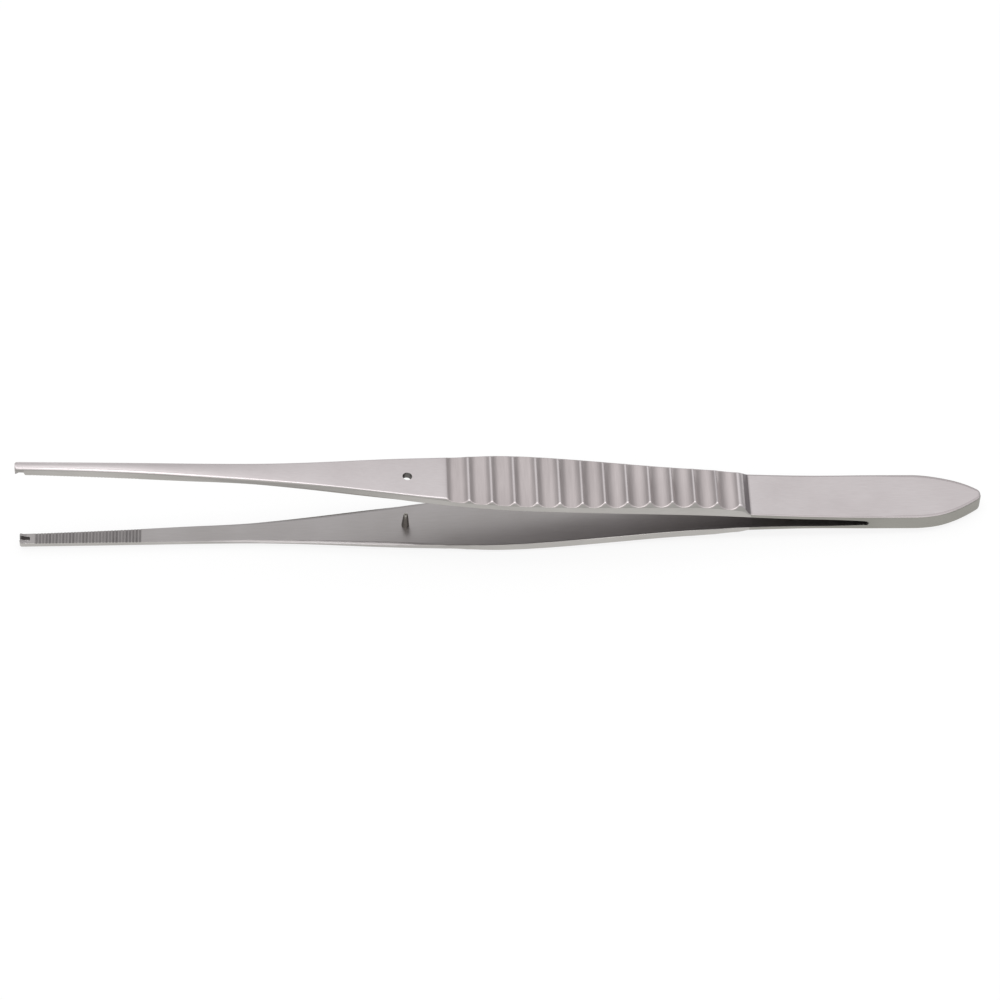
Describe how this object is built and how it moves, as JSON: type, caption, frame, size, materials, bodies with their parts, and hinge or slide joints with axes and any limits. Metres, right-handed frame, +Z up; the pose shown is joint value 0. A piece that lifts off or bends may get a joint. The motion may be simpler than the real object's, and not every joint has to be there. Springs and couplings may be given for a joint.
{
  "type": "thumb forceps",
  "caption": "Sprung steel tweezers with interlocking teeth at the tips, fluted grips, serrated jaws and a guide pin, squeezed shut by thumb and finger.",
  "frame": {"origin": "centre of the bounding box on the table the forceps lies on", "axes": "+X along the forceps from the tips to the heel, +Y across the arms and away from the viewer, +Z up, the way the arms spring open"},
  "size_m": [0.1504, 0.0104, 0.0194],
  "materials": {
    "satin_steel": "satin",
    "pin_steel": "turned"
  },
  "bodies": {
    "heel": {"heel": "satin_steel"},
    "upper": {"upper_arm": "satin_steel"},
    "lower": {"lower_arm": "satin_steel", "guide_pin": "pin_steel"}
  },
  "joints": [
    {"name": "upper_flex", "type": "hinge", "parent": "heel", "child": "upper", "pos_m": [0.05681, 0, 0.00272], "axis": [0, -1, 0], "range_deg": [0, 3.55], "stiffness_Nm_per_rad": 2.5},
    {"name": "lower_flex", "type": "hinge", "parent": "heel", "child": "lower", "pos_m": [0.05681, 0, 0.00272], "axis": [0, 1, 0], "range_deg": [0, 3.55], "stiffness_Nm_per_rad": 2.5}
  ],
  "couplings": [
    {"joint": "upper_flex", "follows": "lower_flex", "ratio": 1}
  ]
}
